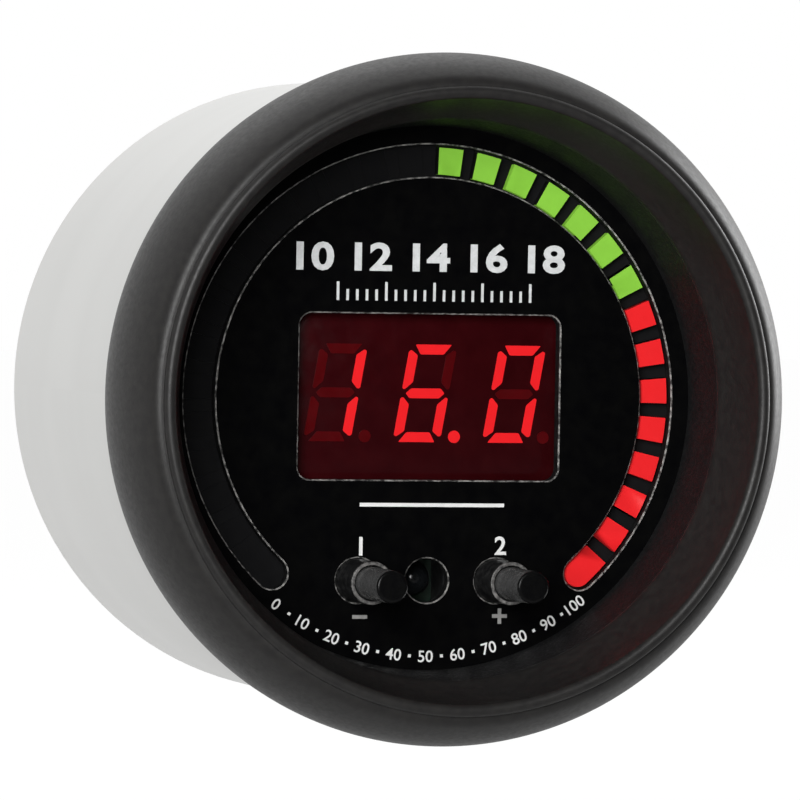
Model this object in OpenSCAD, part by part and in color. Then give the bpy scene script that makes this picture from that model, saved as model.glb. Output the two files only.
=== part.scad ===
// Panel gauge with a bar graph, a three digit display and two push buttons.
// The gauge looks out along -Y, so +Y points into the dash and +Z is up.
// The origin is the centre of the panel seat, which is the flat back of the bezel.

/* [Case] */
// Outside diameter of the drawn can
case_d = 52; // [50:0.5:54]
// Sheet thickness of the can
case_wall = 0.9; // [0.6:0.1:1.1]
// Length from the panel seat to the outside of the back
case_len = 38; // [36:0.5:46]
// Radius round the back edge of the can
case_edge_r = 1.2; // [0.6:0.1:2]
// How far the front flange stands out from the can
flange_out = 0.5; // [0.4:0.1:0.6]
// Thickness of the front flange
flange_t = 0.8; // [0.6:0.1:1]
// How far the can is drawn in behind the flange, under the bezel's rolled edge
neck_in = 0.3; // [0.28:0.01:0.35]

/* [Bezel] */
// How far the bezel stands out past the can, all round
bezel_over = 1.7; // [1.4:0.05:2.5]
// Height of the bead that crowns the bezel, in front of the panel seat
bezel_rise = 11.9; // [11.5:0.1:14]
// Height of the widest ring of the bezel
widest_rise = 4.5; // [4:0.1:5]
// Radius of the domed roll between the widest ring and the crown
roll_r = 11; // [10:0.1:12]
// Radius of the gentle swell between the panel seat and the widest ring
swell_r = 9.5; // [9:0.5:20]
// Radial width of the domed roll
roll_w = 2.6; // [2.2:0.05:2.9]
// Radial distance from the crown's outer edge to the middle of the bead
bead_in = 0.7; // [0.6:0.05:1]
// Radius of the bead
bead_r = 0.5; // [0.35:0.05:0.6]
// Radial distance from the middle of the bead to the inner lip
lip_in = 2.05; // [1.7:0.05:2.2]
// Height of the inner lip in front of the panel seat
lip_rise = 6.1; // [5:0.1:7]
// Thickness of the inner lip at its edge
lip_t = 0.35; // [0.25:0.05:0.6]
// Thickness of the edge that is rolled over behind the flange
crimp_t = 0.8; // [0.5:0.1:1]

/* [Dial] */
// Height of the dial face in front of the panel seat, below zero where it lies behind
dial_rise = -0.2; // [-0.5:0.1:0.2]
// Thickness of the dial plate
dial_t = 1.3; // [1.2:0.1:2]
// How far the well ring leans in from the lip to the dial, all round
well_in = 0.45; // [0.3:0.05:0.8]
// Width of the display window
window_w = 21.8; // [20.5:0.1:22]
// Height of the display window
window_h = 13.35; // [12.5:0.05:13.7]
// Corner radius of the display window
window_r = 1; // [0.3:0.05:1.2]

/* [Bar graph] */
// Distance from the well ring to the middle of the arc slot
bar_in = 2.78; // [2.6:0.02:3]
// Width of the arc slot
slot_w = 2.6; // [2.2:0.1:2.8]
// Angle from the top to the middle of each round end of the slot
slot_end_deg = 137.6; // [134:0.2:139]
// Angle that all the segments share
bar_sweep_deg = 277; // [272:0.5:278]
// Number of segments on each half of the arc
half_count = 15; // [10:1:16]
// Number of green segments, counted from the top
green_count = 7; // [1:1:9]
// How far the lit segments stand up into the slot
lit_proud = 0.8; // [0.4:0.05:1]
// Width of the lit segments across the slot
pad_w = 2.15; // [1.8:0.05:2.3]
// Depth of the light box behind the dial
box_depth = 7.1; // [6.5:0.1:8]

/* [Display] */
// Width of the display module
module_w = 22.7; // [22.3:0.1:23.2]
// Height of the display module
module_h = 14.3; // [14:0.1:14.8]
// Distance from one digit to the next
digit_pitch = 7.5; // [7:0.05:7.6]
// Width of a digit, from stroke middle to stroke middle
digit_w = 3.18; // [3:0.02:3.5]
// Height of a digit, from stroke middle to stroke middle
digit_h = 7.08; // [6.5:0.02:7.6]
// Width of the strokes
stroke_w = 0.8; // [0.6:0.02:0.95]
// Lean of the digits
digit_lean_deg = 9.8; // [6:0.2:12]
// Diameter of the decimal points
point_d = 1; // [0.7:0.02:1.3]

/* [Buttons] */
// Distance of each button from the middle of the gauge, sideways
button_x = 5.8; // [5.4:0.1:6.4]
// Height of the buttons and the sensor above the bottom of the arc's circle
button_up = 4.43; // [4:0.01:5.4]
// Diameter of the three round holes in the dial
hole_d = 3.6; // [3.55:0.05:3.9]
// Diameter of the plungers
plunger_d = 2.46; // [2.2:0.02:2.6]
// Height of the plunger ends in front of the dial
plunger_out = 10.5; // [8:0.1:11]
// Height of the guide tubes in front of the dial
guide_out = 4.5; // [3:0.1:6]
// How far a button can be pressed
press_travel = 0.4; // [0.25:0.05:0.5]
// Width of the square switches
switch_w = 6; // [5.4:0.1:6]
// Height of the switches on their board
switch_h = 3.5; // [3.2:0.1:3.8]

/* [Light sensor] */
// Diameter of the sensor's clear body
sensor_d = 3; // [2.8:0.1:3.2]
// Length of the sensor's body, dome included
sensor_len = 5.2; // [4.4:0.1:5.6]

/* [Boards] */
// Gap between the can and the edge of the round circuit boards
board_clear = 0.5; // [0.4:0.05:0.7]
// Thickness of the circuit boards
board_t = 1.6; // [1.2:0.1:2]
// Distance from the back board to the inside of the can's back
board_up = 7.5; // [7:0.1:9]
// Diameter of the spacers between the boards
spacer_d = 4; // [3.8:0.1:4.2]
// Thread diameter of the small screws
screw_d = 2; // [1.8:0.1:2.2]

/* [Rear studs] */
// Diameter of each stud where it passes through the case and its nut
stud_seat_d = 5; // [4.9:0.1:5.4]
// Thread diameter of each stud's free end
stud_d = 4.17; // [4:0.01:4.5]
// Distance between the two studs
stud_pitch = 25.4; // [24:0.1:27]
// Length of the studs behind the case
stud_out = 19; // [15:0.5:25]
// Width across the flats of the stud nuts
nut_af = 8; // [7.8:0.1:9]
// Thickness of the stud nuts
nut_t = 3.2; // [2.5:0.1:4]
// Diameter of the stud washers
washer_d = 10; // [9.5:0.1:10.5]
// Thickness of the stud washers
washer_t = 1; // [0.6:0.1:1.4]

/* [Connector] */
// Width of the socket housing
socket_w = 14; // [13:0.1:14.5]
// Height of the socket housing
socket_h = 9.8; // [9:0.1:10.5]
// Wall of the socket housing
socket_wall = 1; // [0.8:0.1:1.2]
// How far the socket stands out behind the case
socket_out = 5; // [3:0.1:7]
// Height of the socket above the middle of the gauge
socket_up = 11; // [10.5:0.1:12]
// Distance between pins, both ways
pin_pitch = 4.2; // [3.8:0.1:4.3]
// Number of pins in each of the two rows
pin_count = 3; // [2:1:3]

/* [Hidden] */
$fn = 96;

// Overrun of every cut, and the clearances that all pieces share
cut_over = 1;
slip_gap = 0.1;
run_gap = 0.07;
seat_gap = 0.05;

// Radii worked out from the driving diameters
case_r = case_d / 2;
case_bore_r = case_r - case_wall;
flange_r = case_r + flange_out;
bezel_r = case_r + bezel_over;
crown_r = bezel_r - roll_w;
bead_at_r = crown_r - bead_in;
lip_r = bead_at_r - lip_in;
well_r = lip_r - well_in;
bar_r = well_r - bar_in;
button_drop = bar_r - button_up;
board_r = case_bore_r - board_clear;
fill_r = case_bore_r - slip_gap;

// Places along the axis, where a larger y lies deeper in the dash
dial_back_y = dial_t - dial_rise;
box_back_y = dial_back_y + box_depth;
display_board_back_y = box_back_y + board_t;
case_floor_y = case_len - case_wall;
control_board_back_y = case_floor_y - board_up;
control_board_front_y = control_board_back_y - board_t;
board_gap = control_board_front_y - display_board_back_y;
face_y = dial_back_y + slip_gap;

// Draws a flat outline as a slab whose far side is at back_y
module slab(back_y, thick) {
    translate([0, back_y, 0]) rotate([90, 0, 0]) linear_extrude(thick) children();
}

// Spins an outline of radius and height in front of the seat about the gauge's axis
module turned() {
    rotate([90, 0, 0]) rotate_extrude() children();
}

// A unit step from the middle, at an angle from the top that runs clockwise as seen from the front
function clock(deg) = [sin(deg), cos(deg)];

// A pie slice between two angles less than half a turn apart
module slice(reach, from_deg, to_deg) {
    middle_deg = (from_deg + to_deg) / 2;
    far = reach / cos((to_deg - from_deg) / 4);
    polygon([[0, 0], far * clock(from_deg), far * clock(middle_deg), far * clock(to_deg)]);
}

// A piece of a flat ring between two angles
module ring_piece(in_r, out_r, from_deg, to_deg) {
    intersection() {
        difference() { circle(out_r); circle(in_r); }
        slice(out_r * 2, from_deg, to_deg);
    }
}

// A rectangle about the middle with round corners
module soft_rectangle(w, h, r) {
    difference() {
        square([w, h], center = true);
        for (sx = [-1, 1]) for (sz = [-1, 1])
            translate([sx * (w / 2 - r), sz * (h / 2 - r)]) difference() {
                translate([sx > 0 ? 0 : -r, sz > 0 ? 0 : -r]) square(r);
                circle(r);
            }
    }
}

// A six sided outline, measured across its flats
module hexagon(across) {
    circle(across / 2 / cos(30), $fn = 6);
}

// Bezel: a domed roll, a bead at the crown, a hollow funnel and a thin inner lip
crown_rise = widest_rise + sqrt(pow(roll_r, 2) - pow(crown_r - bezel_r + roll_r, 2));
bead_mid_rise = bezel_rise - bead_r;
funnel_top_r = bead_at_r - bead_r;
funnel_sag_share = 0.045;

// Cuts the funnel as a shallow arc that bellies out between the lip and the bead
module funnel_outline() {
    run = funnel_top_r - lip_r;
    climb = bead_mid_rise - lip_rise;
    chord = norm([run, climb]);
    sag = chord * funnel_sag_share;
    arc_r = pow(chord, 2) / (8 * sag) + sag / 2;
    reach = arc_r - sag;
    translate([0, lip_rise]) polygon([[0, 0], [lip_r, 0], [funnel_top_r, climb], [0, climb]]);
    intersection() {
        translate([0, lip_rise]) square([case_r, climb]);
        translate([(lip_r + funnel_top_r) / 2 - reach * climb / chord,
                   lip_rise + climb / 2 + reach * run / chord]) circle(arc_r);
    }
}

module bezel() {
    color([0.17, 0.17, 0.18]) turned() difference() {
        union() {
            intersection() {
                translate([bezel_r - roll_r, widest_rise]) circle(roll_r);
                translate([lip_r, widest_rise]) square([bezel_r, crown_rise - widest_rise]);
            }
            intersection() {
                translate([bezel_r - swell_r, widest_rise]) circle(swell_r);
                translate([lip_r, 0]) square([bezel_r, widest_rise]);
            }
            translate([bead_at_r, bead_mid_rise]) circle(bead_r);
        }
        funnel_outline();
        translate([0, -cut_over]) square([case_r + slip_gap, crimp_t + cut_over]);
        translate([0, crimp_t]) square([flange_r + slip_gap, flange_t]);
        square([case_bore_r, lip_rise - lip_t]);
    }
}

// Textured ring that lines the well between the dial and the lip
module well_ring() {
    top = lip_rise - lip_t;
    color([0.09, 0.09, 0.095]) turned()
        polygon([[well_r, dial_rise], [fill_r, dial_rise], [fill_r, top], [lip_r, top]]);
}

// Outline of the arc slot with its two round ends
module slot_outline() {
    difference() {
        circle(bar_r + slot_w / 2);
        circle(bar_r - slot_w / 2);
        slice(case_d, slot_end_deg, 360 - slot_end_deg);
    }
    for (side = [-1, 1]) translate(bar_r * clock(side * slot_end_deg)) circle(slot_w / 2);
}

window_up = 0.08;

module dial_plate() {
    color([0.035, 0.035, 0.04]) slab(dial_back_y, dial_t) difference() {
        circle(fill_r);
        slot_outline();
        translate([0, window_up]) soft_rectangle(window_w, window_h, window_r);
        for (x = [-button_x, 0, button_x]) translate([x, -button_drop]) circle(hole_d / 2);
    }
}

// Drawn can with a flange at its mouth and a flat back
module case_cup() {
    mouth = crimp_t + flange_t;
    color([0.82, 0.82, 0.81]) difference() {
        turned() difference() {
            union() {
                translate([0, -case_len]) square([case_r, case_len + mouth]);
                translate([0, crimp_t]) square([flange_r, flange_t]);
            }
            translate([0, -case_floor_y]) square([case_bore_r, case_floor_y + mouth + cut_over]);
            translate([case_r - neck_in, 0]) square([neck_in + cut_over, crimp_t]);
            translate([case_r - case_edge_r, case_edge_r - case_len]) difference() {
                translate([0, -case_edge_r - cut_over]) square(case_edge_r + cut_over);
                circle(case_edge_r);
            }
        }
        for (side = [-1, 1]) translate([side * stud_pitch / 2, 0, 0])
            slab(case_len + cut_over, case_wall + 2 * cut_over) circle(stud_hole_r);
        translate([0, 0, socket_up]) slab(case_len + cut_over, case_wall + 2 * cut_over)
            soft_rectangle(socket_w + 2 * slip_gap, socket_h + 2 * slip_gap, socket_wall / 2);
    }
}

// Segments: each cell is a share of the pitch, and the last one runs on to the slot's round end
pitch_deg = bar_sweep_deg / 2 / half_count;
cell_share = 0.665;
cell_w = slot_w + 2 * slip_gap;
slot_tip_deg = slot_end_deg + asin(slot_w / 2 / bar_r);
end_over_deg = 0.6;
box_wall = 0.8;
box_bore_r = bar_r - cell_w / 2 - box_wall;
block_t = 1.8;

function cell_from(k) = pitch_deg * (k + (1 - cell_share) / 2);
function cell_to(k) = k == half_count - 1
    ? slot_tip_deg + end_over_deg : cell_from(k) + pitch_deg * cell_share;
function gap_deg(gap) = asin(gap / bar_r);

// One cell's outline on the right (side 1) or the left (side -1), drawn in by a gap
module cell_outline(k, side, gap) {
    low = cell_from(k) + gap_deg(gap);
    high = cell_to(k) - gap_deg(gap);
    ring_piece(bar_r - cell_w / 2 + gap, bar_r + cell_w / 2 - gap,
               side > 0 ? low : -high, side > 0 ? high : -low);
}

// The part of a lit block that stands up into the slot, with a round end on the last one
module pad_outline(k, side) {
    low = cell_from(k) + gap_deg(seat_gap);
    high = min(cell_to(k) - gap_deg(seat_gap), slot_end_deg);
    ring_piece(bar_r - pad_w / 2, bar_r + pad_w / 2, side > 0 ? low : -high, side > 0 ? high : -low);
    if (k == half_count - 1) translate(bar_r * clock(side * slot_end_deg)) circle(pad_w / 2);
}

module blocks(side, first, last, proud) {
    for (k = [first : last]) {
        slab(dial_back_y + block_t, block_t) cell_outline(k, side, seat_gap);
        if (proud > 0) slab(dial_back_y + block_t, block_t + proud) pad_outline(k, side);
    }
}

module light_box() {
    end_deg = slot_tip_deg + 2 * end_over_deg + gap_deg(box_wall);
    color([0.06, 0.06, 0.065]) slab(box_back_y, box_depth) difference() {
        circle(board_r);
        circle(box_bore_r);
        slice(case_d, end_deg, 360 - end_deg);
        for (side = [-1, 1]) for (k = [0 : half_count - 1]) cell_outline(k, side, 0);
    }
}

module green_segments() {
    color([0.52, 0.76, 0.26]) blocks(1, 0, green_count - 1, lit_proud);
}

module red_segments() {
    color([0.90, 0.15, 0.15]) blocks(1, green_count, half_count - 1, lit_proud);
}

module unlit_segments() {
    color([0.05, 0.05, 0.055]) blocks(-1, 0, half_count - 1, 0);
}

lamp_size = [0.8, 1.6];
lamp_t = 0.7;

module bar_lamps() {
    color([0.9, 0.88, 0.75]) for (side = [-1, 1]) for (k = [0 : half_count - 1]) {
        deg = side * pitch_deg * (k + 0.5);
        slab(box_back_y, lamp_t)
            translate(bar_r * clock(deg)) rotate(-deg) square(lamp_size, center = true);
    }
}

// Display: seven mitred strokes a digit, leaning, each a bar set in the module's face
end_in = 0.07;
end_slant = 0.55;
tip_share = 0.1;
cheek_share = 0.4;
heel_share = 1.2;
toe_share = 0.75;
foot_share = 2.25;
stroke_proud = 0.05;
stroke_sink = 0.5;
digit_up = 0.36;
point_right = 2.49;
point_down_share = 0.985;
lit_letters = ["bc", "acdefgp", "abcdef"];
all_letters = "abcdefgp";

// The outline of one stroke about the digit's middle, before it leans
function stroke_points(letter) =
    let (hw = digit_w / 2, hh = digit_h / 2, s = stroke_w / 2,
         out = hw - end_in, in = out - end_slant, tip = hw + s * tip_share)
    letter == "a" ? [[-out, hh + s], [out, hh + s], [in, hh - s], [-in, hh - s]]
    : letter == "d" ? [for (p = stroke_points("a")) [p[0], -p[1]]]
    : letter == "g" ? [[-tip, 0], [s - tip, s], [tip - s, s], [tip, 0], [tip - s, -s], [s - tip, -s]]
    : letter == "b" ? [[hw - s, hh - s * heel_share], [hw + s / 2, hh - s * tip_share],
                       [hw + s, hh - s * cheek_share], [hw + s, s], [hw + s / 2, s * toe_share],
                       [hw - s, s * foot_share]]
    : letter == "c" ? [for (p = stroke_points("b")) [p[0], -p[1]]]
    : letter == "e" ? [for (p = stroke_points("b")) [-p[0], -p[1]]]
    : [for (p = stroke_points("b")) [-p[0], p[1]]];

function leaned(points) = [for (p = points) [p[0] + p[1] * tan(digit_lean_deg), p[1]]];

// All strokes that are lit, or all that aren't
module strokes(lit) {
    for (i = [0 : len(lit_letters) - 1]) translate([(i - 1) * digit_pitch, digit_up])
        for (letter = all_letters) if (lit == (len(search(letter, lit_letters[i])) > 0)) {
            if (letter == "p") translate([point_right, -digit_h / 2 * point_down_share]) circle(point_d / 2);
            else polygon(leaned(stroke_points(letter)));
        }
}

module display_housing() {
    color([0.17, 0.02, 0.04]) difference() {
        translate([0, 0, window_up]) slab(box_back_y, box_depth - slip_gap)
            square([module_w, module_h], center = true);
        slab(face_y + stroke_sink, stroke_sink + cut_over) { strokes(true); strokes(false); }
    }
}

module lit_digit_strokes() {
    color([0.89, 0.14, 0.16]) slab(face_y + stroke_sink, stroke_sink + stroke_proud) strokes(true);
}

module unlit_digit_strokes() {
    color([0.31, 0.01, 0.04]) slab(face_y + stroke_sink, stroke_sink + stroke_proud) strokes(false);
}

tail_pitch = 2.54;
tail_rows = 12.7;
tail_count = 6;
tail_r = 0.45;
tail_len = 1.1;

module display_pins() {
    color([0.75, 0.75, 0.72]) for (side = [-1, 1]) for (i = [0 : tail_count - 1])
        translate([tail_pitch * (i - (tail_count - 1) / 2), 0, window_up + side * tail_rows / 2])
            slab(display_board_back_y + tail_len, tail_len) circle(tail_r);
}

// Buttons: a guide tube behind the dial, a plunger with a shoulder, and a switch on the board
guide_flange_t = 0.8;
guide_flange_w = 1;
guide_rim = 0.12;
mouth_depth = 0.45;
shoulder_out = 0.65;
shoulder_t = 0.8;
plunger_edge = 0.18;
stem_out = 0.9;
stem_in = 0.9;
stem_edge = 0.1;
guide_r = hole_d / 2 - slip_gap;
guide_bore_r = plunger_d / 2 + run_gap;
guide_back = -dial_back_y - guide_flange_t;
switch_front = switch_h - box_back_y;
stem_front = switch_front + stem_out;

// Places an outline spun about the axis of the left (side -1) or right (side 1) button
module at_button(side) {
    translate([side * button_x, 0, -button_drop]) turned() children();
}

module guide_outline() {
    front = dial_rise + guide_out;
    mouth_r = (guide_r + guide_bore_r) / 2;
    polygon([[guide_bore_r, guide_back], [guide_r + guide_flange_w, guide_back],
             [guide_r + guide_flange_w, -dial_back_y], [guide_r, -dial_back_y],
             [guide_r, front - guide_rim], [guide_r - guide_rim, front],
             [mouth_r, front], [guide_bore_r, front - mouth_depth]]);
}

module plunger_outline() {
    r = plunger_d / 2;
    front = dial_rise + plunger_out;
    shoulder = guide_back - slip_gap;
    polygon([[0, stem_front], [r, stem_front], [r, shoulder - shoulder_t],
             [r + shoulder_out, shoulder - shoulder_t], [r + shoulder_out, shoulder], [r, shoulder],
             [r, front - plunger_edge], [r - plunger_edge, front], [0, front]]);
}

module stem_outline() {
    r = plunger_d / 2;
    polygon([[0, switch_front - stem_in], [r, switch_front - stem_in],
             [r, stem_front - stem_edge], [r - stem_edge, stem_front], [0, stem_front]]);
}

module switch_body(side) {
    well = stem_in + press_travel + slip_gap;
    difference() {
        translate([side * button_x, 0, -button_drop]) slab(box_back_y, switch_h)
            square(switch_w, center = true);
        at_button(side) translate([0, switch_front - well]) square([guide_bore_r, well + cut_over]);
    }
}

module left_button_guide() { color([0.10, 0.10, 0.10]) at_button(-1) guide_outline(); }
module right_button_guide() { color([0.10, 0.10, 0.10]) at_button(1) guide_outline(); }
module left_button_plunger() { color([0.05, 0.05, 0.05]) at_button(-1) plunger_outline(); }
module right_button_plunger() { color([0.05, 0.05, 0.05]) at_button(1) plunger_outline(); }
module left_switch_body() { color([0.13, 0.13, 0.13]) switch_body(-1); }
module right_switch_body() { color([0.13, 0.13, 0.13]) switch_body(1); }
module left_switch_stem() { color([0.3, 0.3, 0.28]) at_button(-1) stem_outline(); }
module right_switch_stem() { color([0.3, 0.3, 0.28]) at_button(1) stem_outline(); }

sensor_rim_out = 0.3;
sensor_rim_t = 0.8;

module light_sensor() {
    r = sensor_d / 2;
    color([0.5, 0.52, 0.5]) translate([0, box_back_y, -button_drop]) turned() {
        square([r, sensor_len - r]);
        square([r + sensor_rim_out, sensor_rim_t]);
        intersection() {
            translate([0, sensor_len - r]) circle(r);
            square(sensor_len);
        }
    }
}

// Boards: two round boards joined by three spacers and a pin link
screw_head_r = 1.7;
screw_head_t = 1.3;
screw_in = 4;
spacer_in = 5.42;
spacer_out = 1.38;
spacer_clear = 0.45;
spacer_up = window_up + module_h / 2 + screw_head_r + spacer_clear;
spacer_x = box_bore_r - spacer_in;
spacer_low = bar_r + spacer_out;
spacer_places = [[-spacer_x, spacer_up], [spacer_x, spacer_up], [0, -spacer_low]];
stud_places = [[-stud_pitch / 2, 0], [stud_pitch / 2, 0]];
stud_hole_r = stud_seat_d / 2 + 2 * slip_gap;
drive_r = 0.6;
drive_deep = 0.7;

// A pan head screw with a hexagon socket, whose head sits at y and whose shank runs along way
module screw(y, way) {
    translate([0, y, 0]) rotate([-90 * way, 0, 0]) {
        difference() {
            translate([0, 0, -screw_head_t]) cylinder(h = screw_head_t, r = screw_head_r);
            translate([0, 0, -screw_head_t - cut_over])
                linear_extrude(cut_over + drive_deep) hexagon(2 * drive_r);
        }
        cylinder(h = board_t + screw_in, r = screw_d / 2);
    }
}

module board(back_y, places) {
    slab(back_y, board_t) difference() {
        circle(board_r);
        for (p = places) translate(p) circle(screw_d / 2 + slip_gap);
    }
}

module display_board() {
    color([0.05, 0.25, 0.12]) board(display_board_back_y, spacer_places);
}

module control_board() {
    color([0.05, 0.25, 0.12]) board(control_board_back_y, concat(spacer_places, stud_places));
}

module board_screws() {
    color([0.7, 0.7, 0.7]) for (p = spacer_places) translate([p[0], 0, p[1]]) {
        screw(box_back_y, 1);
        screw(control_board_back_y, -1);
    }
}

module board_spacers() {
    color([0.78, 0.66, 0.36]) for (p = spacer_places) translate([p[0], 0, p[1]])
        slab(control_board_front_y, board_gap) difference() {
            circle(spacer_d / 2);
            circle(screw_d / 2 + seat_gap);
        }
}

link_up = 11.5;
link_pins = 6;
link_deep = 2.5;
link_socket_t = 8.5;
link_pin_w = 0.64;

// Header strip on the display board, its pins, and the tall socket they plug into
module board_link() {
    link_w = link_pins * tail_pitch;
    color([0.12, 0.12, 0.12]) translate([0, 0, link_up]) {
        slab(display_board_back_y + link_deep, link_deep) square([link_w, link_deep], center = true);
        slab(control_board_front_y, link_socket_t) square([link_w, link_deep], center = true);
        for (i = [0 : link_pins - 1]) translate([tail_pitch * (i - (link_pins - 1) / 2), 0, 0])
            slab(control_board_front_y - link_socket_t / 2, board_gap - link_socket_t / 2 - link_deep / 2)
                square(link_pin_w, center = true);
    }
}

lead_reach = 1;
lead_share = 0.35;

// A chip on a board: a comb of leads on two or four sides, and the body over it, standing along way
module chip(y, way, body_w, body_h, body_t, leads, pitch, four_sided) {
    back_y = way > 0 ? y + body_t : y;
    slab(back_y, body_t) square([body_w, body_h], center = true);
    slab(way > 0 ? y + body_t / 2 : y, body_t / 2) {
        square([body_w, body_h], center = true);
        for (i = [0 : leads - 1]) {
            along = pitch * (i - (leads - 1) / 2);
            translate([along, 0])
                square([pitch * lead_share, body_h + 2 * lead_reach], center = true);
            if (four_sided) translate([0, along])
                square([body_w + 2 * lead_reach, pitch * lead_share], center = true);
        }
    }
}

driver_size = [9.9, 3.9, 1.5];
driver_down = 12.5;
driver_leads = 8;
driver_pitch = 1.27;

module driver_chips() {
    color([0.1, 0.1, 0.1]) for (down = [0, driver_down]) translate([0, 0, window_up - down])
        chip(display_board_back_y, 1, driver_size[0], driver_size[1], driver_size[2],
             driver_leads, driver_pitch, false);
}

controller_w = 10;
controller_t = 1.4;
controller_leads = 11;
controller_pitch = 0.8;
controller_down = 1.5;

module controller_chip() {
    color([0.1, 0.1, 0.1]) translate([0, 0, -controller_down])
        chip(control_board_front_y, -1, controller_w, controller_w, controller_t,
             controller_leads, controller_pitch, true);
}

crystal_w = 11.4;
crystal_h = 4.7;
crystal_t = 3.5;
crystal_down = 11.5;

module crystal() {
    color([0.75, 0.75, 0.76]) translate([0, 0, -crystal_down]) slab(control_board_front_y, crystal_t)
        soft_rectangle(crystal_w, crystal_h, crystal_h / 2 - seat_gap);
}

regulator_w = 6.5;
regulator_h = 6;
regulator_t = 2.3;
regulator_down = 12;
regulator_tab_h = 1.2;
regulator_leg_w = 0.8;
regulator_leg_x = 2.3;
regulator_leg_h = 2.7;

module voltage_regulator() {
    tab_t = regulator_t / 4;
    color([0.1, 0.1, 0.1]) translate([0, 0, -regulator_down]) {
        slab(control_board_back_y + regulator_t, regulator_t)
            square([regulator_w, regulator_h], center = true);
        translate([0, 0, regulator_h / 2]) slab(control_board_back_y + tab_t, tab_t)
            square([regulator_w, 2 * regulator_tab_h], center = true);
        for (side = [-1, 1]) translate([side * regulator_leg_x, 0, -regulator_h / 2])
            slab(control_board_back_y + tab_t, tab_t)
                square([regulator_leg_w, 2 * regulator_leg_h], center = true);
    }
}

capacitor_d = 6.3;
capacitor_len = 5.8;
capacitor_base = 0.9;
capacitor_x = 11.5;
capacitor_down = 9.5;

module filter_capacitors() {
    color([0.72, 0.72, 0.74]) for (side = [-1, 1])
        translate([side * capacitor_x, 0, -capacitor_down]) {
            slab(control_board_front_y, capacitor_base) square(capacitor_d, center = true);
            slab(control_board_front_y - capacitor_base, capacitor_len - capacitor_base)
                circle(capacitor_d / 2);
        }
}

// Rear socket: an open shroud round two rows of pins, with a latch ramp on top
socket_depth = 10;
socket_pin_w = 1;
socket_pin_len = 4.6;
latch_w = 3.4;
latch_up = 1.1;
latch_len = 3;
socket_mouth_y = case_len + socket_out;
socket_floor_y = socket_mouth_y - socket_depth;

module rear_socket() {
    color([0.08, 0.08, 0.08]) translate([0, 0, socket_up]) {
        difference() {
            slab(socket_mouth_y, socket_mouth_y - control_board_back_y)
                soft_rectangle(socket_w, socket_h, socket_wall / 2);
            slab(socket_mouth_y + cut_over, socket_depth + cut_over)
                square([socket_w - 2 * socket_wall, socket_h - 2 * socket_wall], center = true);
        }
        translate([-latch_w / 2, socket_mouth_y, socket_h / 2]) rotate([90, 0, 90])
            linear_extrude(latch_w) polygon([[0, -socket_wall / 2], [-latch_len, -socket_wall / 2],
                                            [-latch_len, latch_up], [-latch_len * 3 / 4, latch_up], [0, 0]]);
    }
}

module socket_pins() {
    color([0.8, 0.7, 0.4]) translate([0, 0, socket_up])
        for (row = [-1, 1]) for (i = [0 : pin_count - 1])
            translate([pin_pitch * (i - (pin_count - 1) / 2), 0, row * pin_pitch / 2])
                slab(socket_floor_y + socket_pin_len, socket_pin_len) square(socket_pin_w, center = true);
}

// Studs: a hexagon foot inside the case, screwed to the control board, and a threaded end outside
stud_foot_af = 7;
stud_tip = 0.5;
stud_step = 0.5;
stud_bore_deep = screw_in + 2 * seat_gap;
stud_seat_y = case_len + washer_t + nut_t + stud_step;

module mounting_studs() {
    r = stud_d / 2;
    seat_r = stud_seat_d / 2;
    tip_y = case_len + stud_out;
    color([0.72, 0.70, 0.64]) for (p = stud_places) translate([p[0], 0, p[1]]) difference() {
        union() {
            slab(case_floor_y, case_floor_y - control_board_back_y) hexagon(stud_foot_af);
            turned() polygon([[0, stud_tip - case_floor_y], [seat_r, stud_tip - case_floor_y],
                              [seat_r, -stud_seat_y], [r, -stud_seat_y],
                              [r, stud_tip - tip_y], [r - stud_tip, -tip_y], [0, -tip_y]]);
        }
        slab(control_board_back_y + stud_bore_deep, stud_bore_deep + cut_over)
            circle(screw_d / 2 + seat_gap);
    }
}

module stud_screws() {
    color([0.7, 0.7, 0.7]) for (p = stud_places) translate([p[0], 0, p[1]])
        screw(control_board_front_y, 1);
}

module stud_washers() {
    color([0.75, 0.75, 0.75]) for (p = stud_places) translate([p[0], 0, p[1]])
        slab(case_len + washer_t, washer_t) difference() {
            circle(washer_d / 2);
            circle(stud_seat_d / 2 + slip_gap);
        }
}

module stud_nuts() {
    color([0.75, 0.73, 0.62]) for (p = stud_places) translate([p[0], 0, p[1]])
        slab(case_len + washer_t + nut_t, nut_t) difference() {
            hexagon(nut_af);
            circle(stud_seat_d / 2 + seat_gap);
        }
}

bezel();
well_ring();
dial_plate();
case_cup();
light_box();
green_segments();
red_segments();
unlit_segments();
bar_lamps();
display_housing();
lit_digit_strokes();
unlit_digit_strokes();
display_pins();
left_button_guide();
right_button_guide();
left_button_plunger();
right_button_plunger();
left_switch_body();
right_switch_body();
left_switch_stem();
right_switch_stem();
light_sensor();
display_board();
driver_chips();
board_screws();
board_spacers();
board_link();
control_board();
controller_chip();
crystal();
voltage_regulator();
filter_capacitors();
rear_socket();
socket_pins();
mounting_studs();
stud_screws();
stud_washers();
stud_nuts();
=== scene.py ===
import math

import bmesh
import bpy
from mathutils import Matrix, Vector


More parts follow.
